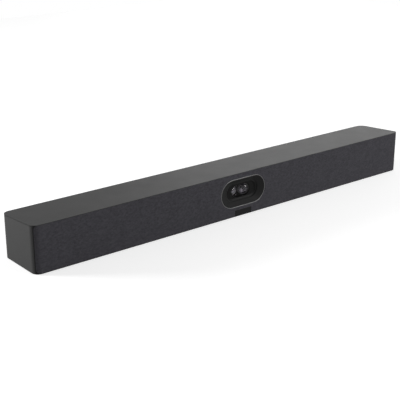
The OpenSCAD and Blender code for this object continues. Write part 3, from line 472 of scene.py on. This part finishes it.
def sector_mesh(profile, place, sector):
    """The section swept through one sector and closed at both ends."""
    bm = bmesh.new()
    loops = []
    for k in range(SECTOR_STEPS + 1):
        turn = (sector + k / SECTOR_STEPS) * SECTOR
        loops.append([bm.verts.new(place(r, y, turn)) for r, y in profile])
    for one, two in zip(loops, loops[1:]):
        join_loops(bm, one, two)
    bm.faces.new(loops[0])
    bm.faces.new(loops[-1])
    bmesh.ops.recalc_face_normals(bm, faces=bm.faces)
    return bm


def make_surround(side):
    """The roll in sectors, swept from its section round the speaker, in place of the CAD node."""
    node = "speaker_surround_" + side
    low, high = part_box(node)
    cone_low, cone_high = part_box("speaker_cone_" + side)
    x, z = (low.x + high.x) / 2, (low.z + high.z) / 2
    cone_r = (cone_high.x - cone_low.x) / 2
    profile = surround_profile(cone_r, (high.z - low.z) / 2, low.y, high.y)

    def place(radius, y, turn):
        return Vector((x + radius * math.cos(turn), y, z + radius * math.sin(turn)))

    for sector in range(ROLL_SECTORS):
        piece = add_mesh(f"surround_{side}_{sector + 1}", sector_mesh(profile, place, sector))
        piece.data.materials.append(material("soft_rubber"))
        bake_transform(piece)
        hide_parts(node)


# Tongue of each socket: its width, thickness and height over the middle, and its number of contacts
TONGUES = {
    "hdmi_socket_1": (10.5 * MM, 1.2 * MM, 0, 9),
    "hdmi_socket_2": (10.5 * MM, 1.2 * MM, 0, 9),
    "hdmi_socket_3": (10.5 * MM, 1.2 * MM, 0, 9),
    "usb_a_socket_1": (11.2 * MM, 2.4 * MM, 1.32 * MM, 4),
    "usb_a_socket_2": (11.2 * MM, 2.4 * MM, 1.32 * MM, 4),
    "usb_c_socket": (5.64 * MM, 0.7 * MM, 0, 6),
}
TONGUE_L = 8.5 * MM
TONGUE_SINK = 1 * MM
TONGUE_EDGE = 0.05 * MM
SKIN = 0.06 * MM
CONTACT_SHARE = 0.56
CONTACT_SINK = 0.6 * MM
CONTACT_EDGE = 0.03 * MM
WIRES = 8
WIRE_PITCH = 1.02 * MM
WIRE_W = 0.4 * MM
WIRE_LOW = 2.9 * MM
WIRE_HIGH = 3.5 * MM


def add_blocks(name, slot, blocks, edge):
    """Small blocks, each from its least to its greatest corner, with softened edges."""
    bm = bmesh.new()
    for low, high in blocks:
        low, high = Vector(low), Vector(high)
        middle, span = (low + high) / 2, high - low
        made = bmesh.ops.create_cube(bm, size=1)
        for point in made["verts"]:
            point.co = Vector(a * b for a, b in zip(point.co, span)) + middle
    soften(add_piece(name, bm, slot), edge, 2)


def make_contacts():
    """Dark tongues in the data sockets, and the gold contacts on them."""
    tongues, contacts = [], []
    for node, (width, thick, rise, count) in TONGUES.items():
        low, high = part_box(node)
        x, z = (low.x + high.x) / 2, (low.z + high.z) / 2 + rise
        half_w, half_t = width / 2 + SKIN, thick / 2 + SKIN
        back, front = high.y - TONGUE_L, high.y - TONGUE_SINK + SKIN
        tongues.append(((x - half_w, back, z - half_t), (x + half_w, front, z + half_t)))
        pitch = width / count
        half = pitch * CONTACT_SHARE / 2
        under = z - half_t
        for k in range(count):
            at = x - width / 2 + pitch * (k + 0.5)
            end = (at + half, front - CONTACT_SINK, under + SKIN)
            contacts.append(((at - half, back, under - SKIN), end))
    low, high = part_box("network_socket")
    x, z = (low.x + high.x) / 2, (low.z + high.z) / 2
    front = high.y - TONGUE_SINK - CONTACT_SINK
    for k in range(WIRES):
        at = x + (k - (WIRES - 1) / 2) * WIRE_PITCH
        start = (at - WIRE_W / 2, high.y - TONGUE_L, z + WIRE_LOW)
        contacts.append((start, (at + WIRE_W / 2, front, z + WIRE_HIGH)))
    add_blocks("socket_tongues", "black_plastic", tongues, TONGUE_EDGE)
    add_blocks("socket_contacts", "brass", contacts, CONTACT_EDGE)


# The bead round the window has a rounded face that stands a little proud
BEAD_W = 0.9 * MM
BEAD_PROUD = 0.25 * MM
BEAD_EDGE = 0.2 * MM
BEAD_STEPS = 48


def make_ring():
    ring = RING_HIGH - RING_LOW
    r = BEAD_W / 2
    turns = [math.radians(a) for a in range(20, 180, 20)]
    crown = [(r - r * math.cos(a), BEAD_EDGE - (BEAD_EDGE + BEAD_PROUD) * math.sin(a)) for a in turns]
    profile = [(0, ring.y), (0, BEAD_EDGE)] + crown + [(BEAD_W, BEAD_EDGE), (BEAD_W, ring.y)]
    bm = bmesh.new()
    loops = []
    for inset, back in profile:
        points = stadium(ring.x - 2 * inset, ring.z - 2 * inset, BEAD_STEPS)
        y = RING_LOW.y + back
        loops.append([bm.verts.new((WINDOW.x + x, y, WINDOW.z + z)) for x, z in points])
    for one, two in zip(loops, loops[1:] + loops[:1]):
        join_loops(bm, one, two)
    bmesh.ops.recalc_face_normals(bm, faces=bm.faces)
    for face in bm.faces:
        face.smooth = True
    add_piece("window_bead", bm, "trim_metal", "window_trim_ring")


# Stage

# Strength of the white world: what lights the object, and what the camera sees behind it
WORLD_UNSEEN = 0.24
WORLD_SEEN = 1.0

def path_mix(tree, seen, unseen):
    """A shader that camera, mirror and see-through rays meet, and another for the rest."""
    paths = tree.nodes.new("ShaderNodeLightPath")
    total = paths.outputs["Is Camera Ray"]
    for name in ("Is Glossy Ray", "Is Transmission Ray"):
        joined = tree.nodes.new("ShaderNodeMath")
        joined.operation = "MAXIMUM"
        tree.links.new(total, joined.inputs[0])
        tree.links.new(paths.outputs[name], joined.inputs[1])
        total = joined.outputs["Value"]
    mix = tree.nodes.new("ShaderNodeMixShader")
    tree.links.new(total, mix.inputs["Fac"])
    tree.links.new(unseen, mix.inputs[1])
    tree.links.new(seen, mix.inputs[2])
    return mix.outputs["Shader"]


def set_world():
    world = bpy.data.worlds.new("studio")
    scene.world = world
    world.use_nodes = True
    tree = world.node_tree
    unseen = tree.nodes["Background"]
    unseen.inputs["Color"].default_value = (1, 1, 1, 1)
    unseen.inputs["Strength"].default_value = WORLD_UNSEEN
    seen = tree.nodes.new("ShaderNodeBackground")
    seen.inputs["Color"].default_value = (1, 1, 1, 1)
    seen.inputs["Strength"].default_value = WORLD_SEEN
    out = tree.nodes["World Output"]
    mixed = path_mix(tree, seen.outputs["Background"], unseen.outputs["Background"])
    tree.links.new(mixed, out.inputs["Surface"])


FLOOR_HALF = 2.2
FLOOR_WHITE = 0.6
FLOOR_GLOW = 0.62


def make_floor():
    bm = bmesh.new()
    bmesh.ops.create_grid(bm, x_segments=1, y_segments=1, size=FLOOR_HALF)
    floor = add_mesh("floor", bm)
    paint = bpy.data.materials.new("floor_white")
    paint.use_nodes = True
    tree = paint.node_tree
    tree.nodes.remove(tree.nodes["Principled BSDF"])
    diffuse = tree.nodes.new("ShaderNodeBsdfDiffuse")
    diffuse.inputs["Color"].default_value = (FLOOR_WHITE, FLOOR_WHITE, FLOOR_WHITE, 1)
    glow = tree.nodes.new("ShaderNodeEmission")
    glow.inputs["Strength"].default_value = FLOOR_GLOW
    both = tree.nodes.new("ShaderNodeAddShader")
    tree.links.new(diffuse.outputs["BSDF"], both.inputs[0])
    tree.links.new(glow.outputs["Emission"], both.inputs[1])
    out = tree.nodes["Material Output"]
    tree.links.new(path_mix(tree, both.outputs["Shader"], diffuse.outputs["BSDF"]), out.inputs["Surface"])
    floor.data.materials.append(paint)


# Each lamp: where it is, what it points at, its width and height, and its watts
LAMPS = {
    "side": ((-2.0, 1.6, 0.6), (-0.39, 0, 0.04), 0.9, 0.7, 98),
    "sheen": ((2.3, 1.6, 0.8), (0.39, 0, 0.07), 2.2, 1.2, 14.5),
    "fill": ((1.3, -2.2, 1.0), (0.2, 0, 0.04), 1.3, 0.95, 53),
}


def set_lights():
    for name, (at, aim, width, height, watts) in LAMPS.items():
        lamp = bpy.data.lights.new(name, "AREA")
        lamp.shape = "RECTANGLE"
        lamp.size, lamp.size_y, lamp.energy = width, height, watts
        made = bpy.data.objects.new(name, lamp)
        scene.collection.objects.link(made)
        made.location = at
        made.rotation_euler = (Vector(aim) - Vector(at)).to_track_quat("-Z", "Y").to_euler()


set_camera()
dress_cad_nodes()
make_cloth()
make_ring()
make_contacts()
make_surround("left")
make_surround("right")
set_world()
make_floor()
set_lights()
scene.view_settings.view_transform = "Standard"
